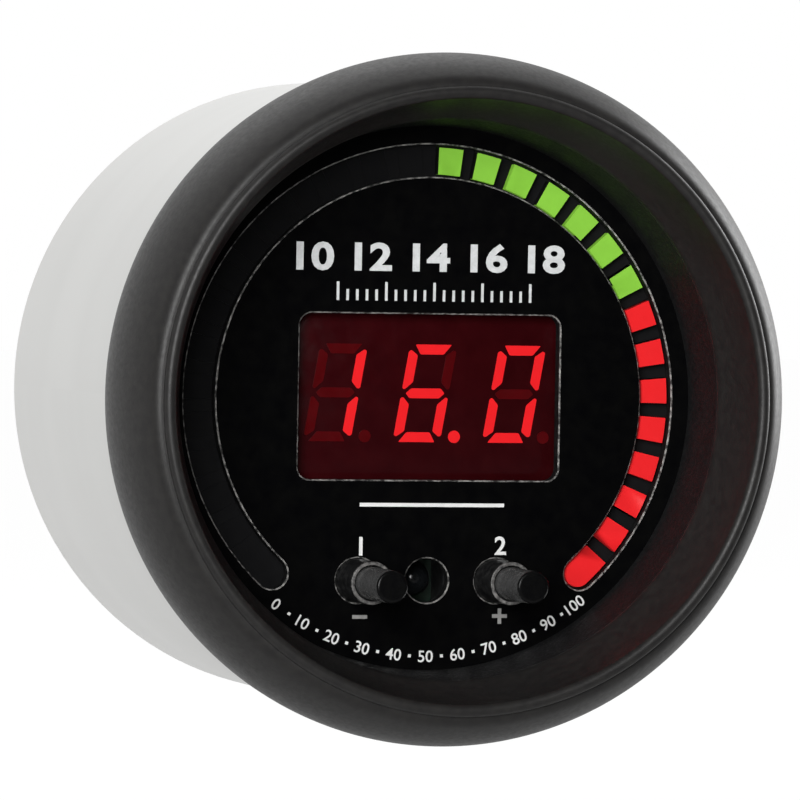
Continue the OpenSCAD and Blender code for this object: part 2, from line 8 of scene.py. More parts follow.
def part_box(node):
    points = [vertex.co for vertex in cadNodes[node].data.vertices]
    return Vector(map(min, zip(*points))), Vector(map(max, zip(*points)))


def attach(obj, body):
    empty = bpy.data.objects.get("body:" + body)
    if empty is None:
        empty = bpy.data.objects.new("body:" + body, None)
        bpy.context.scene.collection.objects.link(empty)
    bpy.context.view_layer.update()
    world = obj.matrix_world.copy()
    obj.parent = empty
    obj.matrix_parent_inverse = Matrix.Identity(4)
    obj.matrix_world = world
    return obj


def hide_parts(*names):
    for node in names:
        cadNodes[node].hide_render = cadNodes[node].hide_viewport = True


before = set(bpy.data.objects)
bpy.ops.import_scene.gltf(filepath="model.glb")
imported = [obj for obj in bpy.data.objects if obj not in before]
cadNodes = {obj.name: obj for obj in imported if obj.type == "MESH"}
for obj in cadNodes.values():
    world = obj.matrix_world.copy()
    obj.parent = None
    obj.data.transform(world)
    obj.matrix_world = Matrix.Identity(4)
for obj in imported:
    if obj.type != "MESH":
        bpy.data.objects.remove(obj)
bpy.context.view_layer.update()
mm = 0.001
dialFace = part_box("dial_plate")[0].y  # smaller y is nearer to the reader
print("frame loaded:", len(cadNodes), "nodes")

# Camera: left of straight ahead and a little above

cameraView = {
    "azimuth": -15.88,
    "elevation": 1.27,
    "roll": 0.96,
    "distance": 550 * mm,
    "aimRight": 2.39 * mm,  # the dial's middle sits this far right of the picture's middle
    "aimUp": 0.14 * mm,
    "focalPixels": 6832.76,
    "imagePixels": 800,
    "sensorWidth": 36.0,
    "clip": (0.01, 20),
}


def addCamera(view):
    turn = math.radians(view["azimuth"])
    lift = math.radians(view["elevation"])
    roll = math.radians(view["roll"])
    flat = math.cos(lift)
    ahead = Vector((-math.sin(turn) * flat, math.cos(turn) * flat, -math.sin(lift)))
    levelRight = ahead.cross(Vector((0, 0, 1))).normalized()
    levelUp = levelRight.cross(ahead)
    right = math.cos(roll) * levelRight + math.sin(roll) * levelUp
    up = math.cos(roll) * levelUp - math.sin(roll) * levelRight
    aim = Vector((0, dialFace, 0))
    place = aim - ahead * view["distance"] - right * view["aimRight"] - up * view["aimUp"]
    data = bpy.data.cameras.new("photoCamera")
    data.sensor_width = view["sensorWidth"]
    data.lens = view["focalPixels"] * view["sensorWidth"] / view["imagePixels"]
    data.clip_start, data.clip_end = view["clip"]
    camera = bpy.data.objects.new("photoCamera", data)
    bpy.context.scene.collection.objects.link(camera)
    turned = Matrix((right, up, -ahead)).transposed()
    camera.matrix_world = Matrix.Translation(place) @ turned.to_4x4()
    bpy.context.scene.camera = camera


addCamera(cameraView)
bpy.context.scene.view_settings.view_transform = "Standard"
print("camera placed")

# Shader helpers

noiseLook = {
    "roughness": 0.55,
    "detail": 2.0,
    "patchDetail": 3.0,
    "roughScaleShare": 1.7,  # of the patches' scale, where a look gives no scale of its own
    "usualSpan": (0.3, 0.7),  # nearly all of the noise lies between these
    "patchSpan": (0.35, 0.65),
}
glowShare = 0.9  # what the dimmer patches of a glow have of the full one


# A colour as the screen gives it, from 0 to 255, turned into linear light
def screenColour(red, green, blue):
    shares = [c / 255 for c in (red, green, blue)]
    linear = [c / 12.92 if c <= 0.04045 else ((c + 0.055) / 1.055) ** 2.4 for c in shares]
    return (*linear, 1.0)


def addNode(tree, kind, **settings):
    node = tree.nodes.new("ShaderNode" + kind)
    for key, value in settings.items():
        setattr(node, key, value)
    return node


def noiseOf(tree, place, scale, detail=noiseLook["detail"]):
    cloud = addNode(tree, "TexNoise")
    cloud.inputs["Scale"].default_value = scale
    cloud.inputs["Detail"].default_value = detail
    cloud.inputs["Roughness"].default_value = noiseLook["roughness"]
    tree.links.new(place, cloud.inputs["Vector"])
    return cloud.outputs["Fac"]


def rampOf(tree, share, low, high, lowColour, highColour):
    ramp = addNode(tree, "ValToRGB")
    first, last = ramp.color_ramp.elements
    first.position = low
    last.position = high
    first.color = lowColour
    last.color = highColour
    tree.links.new(share, ramp.inputs["Fac"])
    return ramp.outputs["Color"]


def rangeOf(tree, share, span, low, high, kind="LINEAR"):
    spread = addNode(tree, "MapRange", interpolation_type=kind)
    for socket, value in zip(("From Min", "From Max", "To Min", "To Max"), (*span, low, high)):
        spread.inputs[socket].default_value = value
    tree.links.new(share, spread.inputs["Value"])
    return spread.outputs["Result"]


# Distance from the gauge's axis, depth and angle, for marks left by spinning
def turnedPlace(tree, place, stretch):
    parts = addNode(tree, "SeparateXYZ")
    tree.links.new(place, parts.inputs["Vector"])
    flat = addNode(tree, "CombineXYZ")
    tree.links.new(parts.outputs["X"], flat.inputs["X"])
    tree.links.new(parts.outputs["Z"], flat.inputs["Z"])
    radius = addNode(tree, "VectorMath", operation="LENGTH")
    tree.links.new(flat.outputs["Vector"], radius.inputs[0])
    angle = addNode(tree, "Math", operation="ARCTAN2")
    tree.links.new(parts.outputs["Z"], angle.inputs[0])
    tree.links.new(parts.outputs["X"], angle.inputs[1])
    joined = addNode(tree, "CombineXYZ")
    tree.links.new(radius.outputs["Value"], joined.inputs["X"])
    tree.links.new(parts.outputs["Y"], joined.inputs["Y"])
    tree.links.new(angle.outputs["Value"], joined.inputs["Z"])
    mapping = addNode(tree, "Mapping")
    mapping.inputs["Scale"].default_value = stretch
    tree.links.new(joined.outputs["Vector"], mapping.inputs["Vector"])
    return mapping.outputs["Vector"]


def makeFinish(name, look):
    material = bpy.data.materials.new(name)
    material.use_nodes = True
    tree = material.node_tree
    shader = tree.nodes["Principled BSDF"]
    place = addNode(tree, "TexCoord").outputs["Object"]
    if "turned" in look:
        place = turnedPlace(tree, place, look["turned"])
    shader.inputs["Metallic"].default_value = look.get("metallic", 0.0)
    shader.inputs["Specular IOR Level"].default_value = look.get("specular", 0.5)
    cloud = noiseOf(tree, place, look["patchScale"], noiseLook["patchDetail"])
    low, high = look.get("patchRange", noiseLook["patchSpan"])
    colours = screenColour(*look["colour"]), screenColour(*look["patchColour"])
    tree.links.new(rampOf(tree, cloud, low, high, *colours), shader.inputs["Base Color"])
    roughScale = look.get("roughScale", look["patchScale"] * noiseLook["roughScaleShare"])
    rough = noiseOf(tree, place, roughScale)
    rough = rangeOf(tree, rough, noiseLook["usualSpan"], *look["roughness"])
    tree.links.new(rough, shader.inputs["Roughness"])
    bump = addNode(tree, "Bump")
    bump.inputs["Strength"].default_value = 1.0
    bump.inputs["Distance"].default_value = look["grainDepth"]
    grain = noiseOf(tree, place, look["grainScale"], look.get("grainDetail", noiseLook["detail"]))
    tree.links.new(grain, bump.inputs["Height"])
    tree.links.new(bump.outputs["Normal"], shader.inputs["Normal"])
    if "glow" in look:
        glow = screenColour(*look["glow"])
        dim = (*(c * glowShare for c in glow[:3]), 1.0)
        tree.links.new(rampOf(tree, cloud, low, high, glow, dim), shader.inputs["Emission Color"])
        shader.inputs["Emission Strength"].default_value = 1.0
    return material


# Mesh helpers

meshLimits = {
    "flatCorner": 150,  # degrees between a corner's sides, past which it is not eased
    "easeShare": 0.45,  # of a side's length, which an eased corner takes at most
    "spunGap": 1e-7,
    "spunShortest": 1e-8,
    "copyGap": 1e-6,
    "copyFlat": 0.5,  # degrees
}


def arcPoints(centre, radius, fromDegrees, toDegrees, steps):
    across, up = centre
    sweep = toDegrees - fromDegrees
    turns = [math.radians(fromDegrees + sweep * i / steps) for i in range(steps + 1)]
    return [(across + radius * math.cos(t), up + radius * math.sin(t)) for t in turns]


def bentPoint(start, corner, end, t):
    return tuple((1 - t) ** 2 * start + 2 * t * (1 - t) * corner + t * t * end)


# Rounds the sharp corners of a closed outline
def eased(outline, size, steps=3):
    result = []
    befores = outline[-1:] + outline[:-1]
    afters = outline[1:] + outline[:1]
    for before, corner, after in zip(befores, outline, afters):
        corner = Vector(corner)
        toBefore = Vector(before) - corner
        toAfter = Vector(after) - corner
        if toBefore.angle(toAfter) > math.radians(meshLimits["flatCorner"]) or corner.x == 0:
            result.append(tuple(corner))
            continue
        start, end = [
            corner + side.normalized() * min(size, side.length * meshLimits["easeShare"])
            for side in (toBefore, toAfter)
        ]
        result += [bentPoint(start, corner, end, i / steps) for i in range(steps + 1)]
    return result


# Spinning leaves a mesh in an order that differs from run to run, and this one is always the same
def steadyOrder(shape):
    for items, places in (
        (shape.verts, lambda v: [round(c, 8) for c in v.co]),
        (shape.edges, lambda e: sorted(v.index for v in e.verts)),
        (shape.faces, lambda f: sorted(v.index for v in f.verts)),
    ):
        ranks = {item: rank for rank, item in enumerate(sorted(items, key=places))}
        items.sort(key=lambda item: ranks[item])
        items.index_update()


# Spins an outline of (radius, height in front of the seat) about an axis along Y
def spunShape(outline, steps, axisX=0.0, axisZ=0.0):
    shape = bmesh.new()
    corners = [shape.verts.new((axisX + r, -h, axisZ)) for r, h in outline]
    edges = [shape.edges.new(pair) for pair in zip(corners, corners[1:] + corners[:1])]
    bmesh.ops.spin(
        shape, geom=corners + edges, cent=(axisX, 0, axisZ), axis=(0, 1, 0), dvec=(0, 0, 0),
        angle=math.tau, steps=steps, use_merge=True, use_normal_flip=False, use_duplicate=False,
    )
    bmesh.ops.remove_doubles(shape, verts=shape.verts, dist=meshLimits["spunGap"])
    bmesh.ops.dissolve_degenerate(shape, dist=meshLimits["spunShortest"], edges=shape.edges)
    bmesh.ops.recalc_face_normals(shape, faces=shape.faces)
    steadyOrder(shape)
    return shape


def copyOfNode(node):
    shape = bmesh.new()
    shape.from_mesh(cadNodes[node].data)
    bmesh.ops.remove_doubles(shape, verts=shape.verts, dist=meshLimits["copyGap"])
    flat = math.radians(meshLimits["copyFlat"])
    bmesh.ops.dissolve_limit(shape, angle_limit=flat, verts=shape.verts, edges=shape.edges)
    return shape


def softenEdges(shape, width, segments=2, turn=35, wanted=None):
    sharp = [e for e in shape.edges if e.is_manifold and e.calc_face_angle(0) > math.radians(turn)]
    if wanted:
        sharp = [e for e in sharp if wanted(e)]
    bmesh.ops.bevel(
        shape, geom=sharp, offset=width, offset_type="OFFSET", affect="EDGES", segments=segments,
        profile=0.5, material=-1, clamp_overlap=True,
    )


def addPiece(name, shape, materials, body="root", nodes=(), sharpDegrees=35):
    mesh = bpy.data.meshes.new(name)
    shape.to_mesh(mesh)
    shape.free()
    mesh.shade_smooth()
    mesh.set_sharp_from_angle(angle=math.radians(sharpDegrees))
    for material in materials:
        mesh.materials.append(material)
    piece = bpy.data.objects.new(name, mesh)
    bpy.context.scene.collection.objects.link(piece)
    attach(piece, body)
    if nodes:
        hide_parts(*nodes)
    return piece


# Bezel: domed roll, soft shoulder, bead, hollow funnel and thin lip, spun from one outline

bezelLook = {
    "rollWidth": 2.6 * mm,
    "rollRadius": 11 * mm,
    "swellRadius": 9.5 * mm,
    "widestRise": 4.5 * mm,
    "beadIn": 0.7 * mm,
    "beadRadius": 0.5 * mm,
    "beadFoot": -14,
    "shoulderWidth": 0.75 * mm,
    "swellSteps": 10,
    "rollSteps": 20,
    "shoulderSteps": 10,
    "beadSteps": 14,
    "funnelSteps": 12,
    "lipIn": 2.05 * mm,
    "lipRise": 6.1 * mm,
    "lipThick": 0.35 * mm,
    "funnelSagShare": 0.045,
    "flangeOut": 0.5 * mm,  # how far the can's flange stands out of its wall
    "boreIn": 0.9 * mm,
    "grooveDeep": 0.6 * mm,
    "grooveRise": (0.8 * mm, 1.6 * mm),
    "footGap": 0.1 * mm,
    "cornerEase": 0.12 * mm,
    "spinSteps": 256,
    "colour": (29, 28, 28),
    "patchColour": (36, 35, 34),
    "patchScale": 1400,
    "specular": 0.3,
    "roughness": (0.4, 0.5),
    "roughScale": 2600,
    "grainScale": 5200,
    "grainDepth": 0.008 * mm,
    "grainDetail": 3.0,
}


def lipRadius(look):
    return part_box("bezel")[1].x - look["rollWidth"] - look["beadIn"] - look["lipIn"]


def buildBezel(look):
    low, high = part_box("bezel")
    outR = high.x
    rise = -low.y
    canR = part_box("case_cup")[1].x - look["flangeOut"]
    boreR = canR - look["boreIn"]
    crownR = outR - look["rollWidth"]
    beadR = crownR - look["beadIn"]
    beadRise = rise - look["beadRadius"]
    lipR = lipRadius(look)
    swellCentre = (outR - look["swellRadius"], look["widestRise"])
    swellTurn = -math.degrees(math.asin(look["widestRise"] / look["swellRadius"]))
    rollCentre = (outR - look["rollRadius"], look["widestRise"])
    shoulderR = crownR + look["shoulderWidth"]
    rollTurn = math.degrees(math.acos((shoulderR - rollCentre[0]) / look["rollRadius"]))
    shoulderRise = rollCentre[1] + look["rollRadius"] * math.sin(math.radians(rollTurn))
    shoulder = Vector((shoulderR, shoulderRise))
    beadTurns = (look["beadFoot"], 180)
    beadArc = arcPoints((beadR, beadRise), look["beadRadius"], *beadTurns, look["beadSteps"])
    foot = Vector(beadArc[0])
    run = (foot.y - shoulder.y) * (shoulder.y - rollCentre[1]) / (shoulderR - rollCentre[0])
    bend = Vector((shoulderR - run, foot.y))
    outline = arcPoints(swellCentre, look["swellRadius"], swellTurn, 0, look["swellSteps"])
    outline += arcPoints(rollCentre, look["rollRadius"], 0, rollTurn, look["rollSteps"])[1:]
    steps = look["shoulderSteps"]
    outline += [bentPoint(shoulder, bend, foot, i / steps) for i in range(1, steps)]
    outline += beadArc
    top = Vector((beadR - look["beadRadius"], beadRise))
    bottom = Vector((lipR, look["lipRise"]))
    chord = bottom - top
    outward = Vector((-chord.y, chord.x)).normalized()
    for i in range(1, look["funnelSteps"] + 1):
        t = i / look["funnelSteps"]
        sag = 4 * t * (1 - t) * chord.length * look["funnelSagShare"]
        outline.append(tuple(top + chord * t + outward * sag))
    lipBack = look["lipRise"] - look["lipThick"]
    grooveR = canR + look["grooveDeep"]
    grooveLow, grooveHigh = look["grooveRise"]
    footR = canR + look["footGap"]
    outline += [(lipR, lipBack), (boreR, lipBack), (boreR, grooveHigh), (grooveR, grooveHigh)]
    outline += [(grooveR, grooveLow), (footR, grooveLow), (footR, 0)]
    finish = makeFinish("bezelPlastic", look)
    shape = spunShape(eased(outline, look["cornerEase"]), look["spinSteps"])
    addPiece("bezel_ring", shape, [finish], nodes=["bezel"])


buildBezel(bezelLook)

# Well ring: coarse pebbled wall between the dial and the lip

wellLook = {
    "lean": 0.45 * mm,
    "spinSteps": 256,
    "colour": (12, 12, 13),
    "patchColour": (22, 22, 23),
    "patchScale": 2200,
    "specular": 0.3,
    "roughness": (0.5, 0.75),
    "grainScale": 3300,
    "grainDepth": 0.05 * mm,
    "grainDetail": 2.5,
}


def buildWellRing(look):
    low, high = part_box("well_ring")
    lipR = lipRadius(bezelLook)
    outline = [(lipR - look["lean"], -high.y), (high.x, -high.y), (high.x, -low.y), (lipR, -low.y)]
    finish = makeFinish("wellPlastic", look)
    shape = spunShape(outline, look["spinSteps"])
    addPiece("well_wall", shape, [finish], nodes=["well_ring"])


buildWellRing(wellLook)
print("bezel and well built")

# Dial: black face, with pale chipped edges where the openings were cut

dialLook = {
    "edgeWidth": 0.11 * mm,
    "sharpTurn": 50,
    "faceLean": 0.9,  # how squarely a face of the dial looks at the reader, at least
    "edgeLean": 0.3,
    "colour": (4, 4, 5),
    "patchColour": (7, 7, 7),
    "patchScale": 700,
    "specular": 0.03,
    "roughness": (0.28, 0.38),
    "grainScale": 5000,
    "grainDepth": 0.002 * mm,
}
cutLook = {
    "colour": (26, 26, 26),
    "patchColour": (158, 156, 153),
    "patchScale": 2600,
    "patchRange": (0.38, 0.66),
    "roughness": (0.5, 0.8),
    "grainScale": 6000,
    "grainDepth": 0.02 * mm,
}
wallLook = {
    "colour": (10, 10, 11),
    "patchColour": (30, 30, 30),
    "patchScale": 1800,
    "patchRange": (0.45, 0.7),
    "specular": 0.2,
    "roughness": (0.5, 0.8),
    "grainScale": 5000,
    "grainDepth": 0.02 * mm,
}


def buildDial(look, cut, wall):
    shape = copyOfNode("dial_plate")
    softenEdges(shape, look["edgeWidth"], segments=1, turn=look["sharpTurn"])
    for face in shape.faces:
        lean = abs(face.normal.y)
        face.material_index = 0 if lean > look["faceLean"] else 1 if lean > look["edgeLean"] else 2
    rows = (("dialFace", look), ("dialCutEdge", cut), ("dialCutWall", wall))
    finishes = [makeFinish(name, row) for name, row in rows]
    addPiece("dial_face", shape, finishes, nodes=["dial_plate"], sharpDegrees=25)


buildDial(dialLook, cutLook, wallLook)

# Bar graph: one lens block for each segment

segmentLook = {
    "edgeWidth": 0.05 * mm,
    "sharpTurn": 50,
    "padProud": 0.1 * mm,
    "closeUp": 1.04,
    "patchScale": 900,
    "specular": 0.1,
    "roughness": (0.35, 0.5),
    "grainScale": 4000,
    "grainDepth": 0.002 * mm,
}
segmentRows = {
    "green_segments": {
        "slot": "green_lens",
        "colour": (100, 149, 47),
        "patchColour": (100, 149, 47),
        "glow": (96, 143, 45),
    },
    "red_segments": {
        "slot": "red_lens",
        "colour": (208, 28, 32),
        "patchColour": (208, 28, 32),
        "glow": (110, 16, 18),
    },
    "unlit_segments": {
        "slot": "smoked_lens",
        "colour": (19, 19, 20),
        "patchColour": (21, 21, 22),
        "specular": 0.05,
    },
}
segmentSide = {
    "colour": (12, 12, 12),
    "patchColour": (16, 16, 16),
    "patchScale": 900,
    "specular": 0.2,
    "roughness": (0.5, 0.7),
    "grainScale": 4000,
    "grainDepth": 0.002 * mm,
}


# Grows each loose block about its own middle, so that the smoked strip reads as one
def spreadBlocks(shape, share):
    shape.verts.index_update()
    waiting = set(shape.verts)
    while waiting:
        block = {waiting.pop()}
        edge = list(block)
        while edge:
            near = {e.other_vert(v) for v in edge for e in v.link_edges} - block
            block |= near
            edge = list(near)
        waiting -= block
        corners = sorted(block, key=lambda v: v.index)
        middle = sum((v.co for v in corners), Vector()) / len(corners)
        space = Matrix.Translation(-middle)
        bmesh.ops.scale(shape, vec=(share, 1, share), space=space, verts=corners)


# The front pad of a lit block glows, and its base behind the dial stays dark
def buildSegments(look, rows, sideFinish):
    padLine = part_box("unlit_segments")[0].y - look["padProud"]
    for node, row in rows.items():
        shape = copyOfNode(node)
        if "glow" in row:
            softenEdges(shape, look["edgeWidth"], segments=1, turn=look["sharpTurn"])
            for face in shape.faces:
                face.material_index = 0 if face.calc_center_median().y < padLine else 1
        else:
            spreadBlocks(shape, look["closeUp"])
        finish = makeFinish(node.replace("_", ""), {**look, **row})
        addPiece(node + "_blocks", shape, [finish, sideFinish], nodes=[node])


buildSegments(segmentLook, segmentRows, makeFinish("segmentSide", segmentSide))

# Display: deep red module with three leaning digits

moduleLook = {
    "edgeWidth": 0.2 * mm,
    "colour": (45, 5, 8),
    "patchColour": (40, 3, 6),
    "patchScale": 500,
    "specular": 0.15,
    "roughness": (0.12, 0.2),
    "grainScale": 3000,
    "grainDepth": 0.001 * mm,
}
strokeLook = {
    "cornerRound": 0.13 * mm,
    "sharpTurn": 25,
    "inwardShare": 0.9,  # an edge is rounded where this much of its length runs into the display
    "patchScale": 700,
    "specular": 0.1,
    "roughness": (0.3, 0.4),
    "grainScale": 3000,
    "grainDepth": 0.001 * mm,
}
strokeRows = {
    "lit_digit_strokes": {
        "slot": "lit_stroke",
        "colour": (186, 22, 26),
        "patchColour": (186, 22, 26),
        "glow": (154, 18, 22),
    },
    "unlit_digit_strokes": {
        "slot": "unlit_stroke",
        "colour": (68, 1, 4),
        "patchColour": (74, 1, 5),
    },
}


def buildDisplay(module, look, rows):
    low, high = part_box("display_housing")
    shape = bmesh.new()
    bmesh.ops.create_cube(shape, size=1)
    bmesh.ops.scale(shape, vec=high - low, verts=shape.verts)
    bmesh.ops.translate(shape, vec=(low + high) / 2, verts=shape.verts)
    softenEdges(shape, module["edgeWidth"])
    finish = makeFinish("displayModule", module)
    addPiece("display_module", shape, [finish], nodes=["display_housing"])
    for node, row in rows.items():
        shape = copyOfNode(node)
        share = look["inwardShare"]
        softenEdges(
            shape, look["cornerRound"], segments=3, turn=look["sharpTurn"],
            wanted=lambda e: abs(e.verts[0].co.y - e.verts[1].co.y) > share * e.calc_length(),
        )
        finish = makeFinish(node.replace("_", ""), {**look, **row})
        addPiece(node + "_bars", shape, [finish], nodes=[node])


buildDisplay(moduleLook, strokeLook, strokeRows)
print("dial, bar graph and display built")

# Buttons: guide tubes with rims painted pale as a painted highlight, and plungers with fine
# turning marks on their ends and sides painted lighter as a painted sheen

guideLook = {
    "wall": (1.38 * mm, 1.74 * mm),
    "flangeOut": 1 * mm,
    "flangeThick": 0.8 * mm,
    "rimRound": 0.07 * mm,
    "mouthWidth": 0.08 * mm,
    "mouthDepth": 0.2 * mm,
    "cornerEase": 0.05 * mm,
    "spinSteps": 96,
    "colour": (16, 16, 17),
    "patchColour": (42, 42, 42),
    "patchScale": 2000,
    "patchRange": (0.4, 0.75),
    "specular": 0.3,
    "roughness": (0.3, 0.45),
    "grainScale": 4000,
    "grainDepth": 0.006 * mm,
}
# The front rim of each guide is painted in pale mottled patches: a painted highlight on the rim
rimPaintedHighlightLook = {
    "rimDeep": 0.1 * mm,
    "colour": (30, 30, 30),
    "patchColour": (118, 116, 114),
    "patchScale": 2600,
    "patchRange": (0.34, 0.7),
    "roughness": (0.35, 0.6),
    "grainScale": 6000,
    "grainDepth": 0.02 * mm,
}
plungerLook = {
    "shoulderOut": 0.57 * mm,
    "shoulderThick": 0.8 * mm,
    "shoulderGap": 0.1 * mm,
    "edge": 0.12 * mm,
    "sideFrom": 0.13 * mm,
    "cornerEase": 0.05 * mm,
    "ringPitch": 0.12 * mm,
    "ringDepth": 0.006 * mm,
    "ringSteps": 4,
    "spinSteps": 96,
    "colour": (6, 6, 7),
    "patchColour": (9, 9, 9),
    "patchScale": 1800,
    "specular": 0.25,
    "roughness": (0.14, 0.24),
    "grainScale": 5000,
    "grainDepth": 0.002 * mm,
}
# The plunger's side takes a lighter grey than its black end: a painted sheen standing in for the
# highlight along the rod
rodPaintedSheenLook = {
    **plungerLook,
    "colour": (66, 66, 66),
    "patchColour": (78, 78, 78),
    "specular": 0.4,
    "roughness": (0.22, 0.34),
}


def buildGuide(side, look, rim, finishes):
    low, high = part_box(side + "_button_guide")
    middle = (low + high) / 2
    front = -low.y
    back = -high.y
    boreR, outR = look["wall"]
    flangeFront = back + look["flangeThick"]
    flangeR = outR + look["flangeOut"]
    outline = [
        (boreR, back), (flangeR, back), (flangeR, flangeFront), (outR, flangeFront),
        (outR, front - look["rimRound"]), (outR - look["rimRound"], front),
        (boreR + look["mouthWidth"], front), (boreR, front - look["mouthDepth"]),
    ]
    outline = eased(outline, look["cornerEase"])
    shape = spunShape(outline, look["spinSteps"], middle.x, middle.z)
    # The front rim's faces take the pale rim finish, the painted highlight
    rimLine = front - rim["rimDeep"]
    for face in shape.faces:
        face.material_index = 1 if -face.calc_center_median().y > rimLine else 0
    addPiece(
        side + "_guide_tube", shape, finishes,
        nodes=[side + "_button_guide"],
    )


def buildPlunger(side, look, finishes):
    low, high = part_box(side + "_button_plunger")
    middle = (low + high) / 2
    front = -low.y
    back = -high.y
    shoulderR = (high.x - low.x) / 2
    r = shoulderR - look["shoulderOut"]
    shoulder = -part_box(side + "_button_guide")[1].y - look["shoulderGap"]
    shoulderBack = shoulder - look["shoulderThick"]
    outline = [
        (0, back), (r, back), (r, shoulderBack), (shoulderR, shoulderBack),
        (shoulderR, shoulder), (r, shoulder), (r, front - look["edge"]), (r - look["edge"], front),
    ]
    outline = eased(outline, look["cornerEase"])
    steps = look["ringSteps"]
    rings = int((r - 2 * look["edge"]) / look["ringPitch"] * steps)
    for i in range(rings, 0, -1):
        wave = look["ringDepth"] * (1 - math.cos(math.tau * i / steps)) / 2
        outline.append((i * look["ringPitch"] / steps, front - wave))
    outline.append((0, front))
    shape = spunShape(outline, look["spinSteps"], middle.x, middle.z)
    # Faces behind the end take the lighter side finish, the painted sheen
    sideLine = front - look["sideFrom"]
    for face in shape.faces:
        face.material_index = 1 if -face.calc_center_median().y < sideLine else 0
    addPiece(
        side + "_plunger_rod", shape, finishes, body=side + "_button",
        nodes=[side + "_button_plunger"], sharpDegrees=40,
    )


guideFinishes = [makeFinish("guidePlastic", guideLook), makeFinish("guideRimPaintedHighlight", rimPaintedHighlightLook)]
plungerFinishes = [makeFinish("plungerPlastic", plungerLook), makeFinish("plungerSidePaintedSheen", rodPaintedSheenLook)]
for side in ("left", "right"):
    buildGuide(side, guideLook, rimPaintedHighlightLook, guideFinishes)
    buildPlunger(side, plungerLook, plungerFinishes)
print("buttons built")

# Printed marks on the dial: plain numbers, ticks and signs

printLook = {
    "colour": (224, 224, 223),
    "patchColour": (216, 216, 215),
    "patchScale": 2500,
    "roughness": (0.5, 0.65),
    "grainScale": 5000,
    "grainDepth": 0.002 * mm,
    "proud": 0.02 * mm,
    "sunk": 0.002 * mm,
    "curveSteps": 4,
    "drawnDepth": 0.01,  # of a digit as it is drawn, before it is scaled to stand proud
}
greyPrint = {**printLook, "colour": (138, 137, 135), "patchColour": (126, 125, 123)}
# The title and its ticks are printed darker than the other white marks: painted shade from the
# bezel's top over them
titleShadePrint = {**printLook, "colour": (204, 206, 206), "patchColour": (192, 194, 194)}


def onDial(middle):
    depth = dialFace - printLook["proud"] / 2 + printLook["sunk"]
    return Vector((middle[0], depth, middle[1]))


# Numbers laid on the dial, drawn to fill a height, and a width where one is given
def addDigits(name, digits, middle, size, finish, bold, turn=0.0):
    curve = bpy.data.curves.new(name, "FONT")
    curve.body = digits
    curve.offset = bold
    curve.align_x = "CENTER"
    curve.align_y = "CENTER"
    curve.extrude = printLook["drawnDepth"]
    curve.resolution_u = printLook["curveSteps"]
    drawn = bpy.data.objects.new(name, curve)
    bpy.context.scene.collection.objects.link(drawn)
    bpy.context.view_layer.update()
    graph = bpy.context.evaluated_depsgraph_get()
    mesh = bpy.data.meshes.new_from_object(drawn.evaluated_get(graph))
    bpy.data.objects.remove(drawn)
    shape = bmesh.new()
    shape.from_mesh(mesh)
    bpy.data.meshes.remove(mesh)
    low = Vector([min(v.co[i] for v in shape.verts) for i in range(3)])
    high = Vector([max(v.co[i] for v in shape.verts) for i in range(3)])
    span = high - low
    bmesh.ops.translate(shape, vec=-(low + high) / 2, verts=shape.verts)
    tall = size[1] / span.y
    wide = size[0] / span.x if size[0] else tall
    bmesh.ops.scale(shape, vec=(wide, tall, printLook["proud"] / span.z), verts=shape.verts)
    stand = Matrix.Rotation(math.radians(turn), 3, "Y") @ Matrix.Rotation(math.radians(90), 3, "X")
    bmesh.ops.rotate(shape, cent=(0, 0, 0), matrix=stand, verts=shape.verts)
    bmesh.ops.translate(shape, vec=onDial(middle), verts=shape.verts)
    addPiece(name, shape, [finish], sharpDegrees=30)


# Flat bars laid on the dial, each given by its middle, its width and height, and its turn
def addBars(name, bars, finish):
    shape = bmesh.new()
    for middle, size, turn in bars:
        made = bmesh.ops.create_cube(shape, size=1)["verts"]
        bmesh.ops.scale(shape, vec=(size[0], printLook["proud"], size[1]), verts=made)
        lean = Matrix.Rotation(math.radians(turn), 3, "Y")
        bmesh.ops.rotate(shape, cent=(0, 0, 0), matrix=lean, verts=made)
        bmesh.ops.translate(shape, vec=onDial(middle), verts=made)
    addPiece(name, shape, [finish])


markPlaces = {
    "titleMiddle": (-0.05 * mm, 11.33 * mm),
    "titleSize": (22.5 * mm, 2.35 * mm),
    "titleBold": 0.03,
    "tickRow": (-7.8 * mm, 8.3 * mm, 8.55 * mm),  # from, to, height of the row's middle
    "tickCount": 21,
    "tickSize": (0.22 * mm, 1.5 * mm),
    "tickGroup": 5,
    "shortTick": 0.6,
    "ruleMiddle": (0.35 * mm, -8.6 * mm),
    "ruleSize": (12.1 * mm, 0.3 * mm),
    "leftNumber": (-5.55 * mm, -11.95 * mm),
    "rightNumber": (6.15 * mm, -11.85 * mm),
    "numberHeight": 1.5 * mm,
    "numberBold": 0.02,
    "minusMiddle": (-5.55 * mm, -17.63 * mm),
    "plusMiddle": (6.17 * mm, -17.54 * mm),
    "signSize": (1.25 * mm, 0.3 * mm),
    "arcRadius": 20.8 * mm,
    "arcReach": 37.0,
    "arcHeight": 0.95 * mm,
    "arcBold": 0.01,
    "arcCount": 21,
    "arcStep": 5,
    "dotSize": 0.25 * mm,
}
